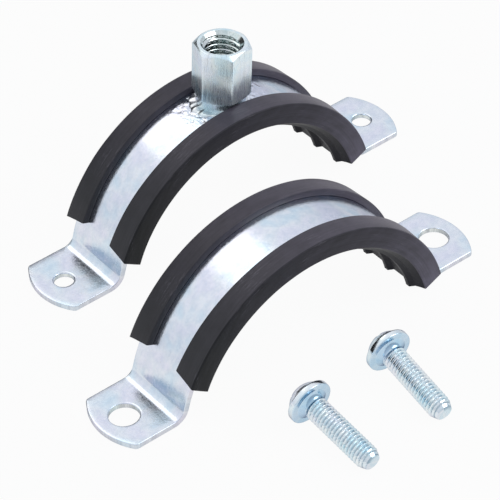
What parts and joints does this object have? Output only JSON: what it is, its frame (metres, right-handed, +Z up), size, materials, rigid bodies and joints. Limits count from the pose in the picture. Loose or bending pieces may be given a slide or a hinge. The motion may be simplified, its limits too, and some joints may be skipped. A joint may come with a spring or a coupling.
{
  "type": "pipe hanger",
  "caption": "Steel pipe clamp hanger with rubber lining, threaded boss and ear screws, taken apart with its halves standing on their ears.",
  "frame": {"origin": "on the table under the middle of the box round all pieces", "axes": "+Z up from the ears towards the threaded boss, X from ear to ear, Y along the pipe with the boss half at +Y and the screws at -Y"},
  "size_m": [0.1266, 0.1104, 0.0486],
  "materials": {
    "strip_steel": "bright zinc plating with a bluish cast",
    "boss_steel": "bright zinc plating on turned and rolled flats",
    "screw_steel": "bright zinc plating",
    "lining_rubber": "matt black moulded rubber"
  },
  "bodies": {
    "root": {"upper_band": "strip_steel", "threaded_boss": "boss_steel", "upper_lining": "lining_rubber", "lower_band": "strip_steel", "lower_lining": "lining_rubber", "left_screw": "screw_steel", "right_screw": "screw_steel"}
  },
  "joints": []
}
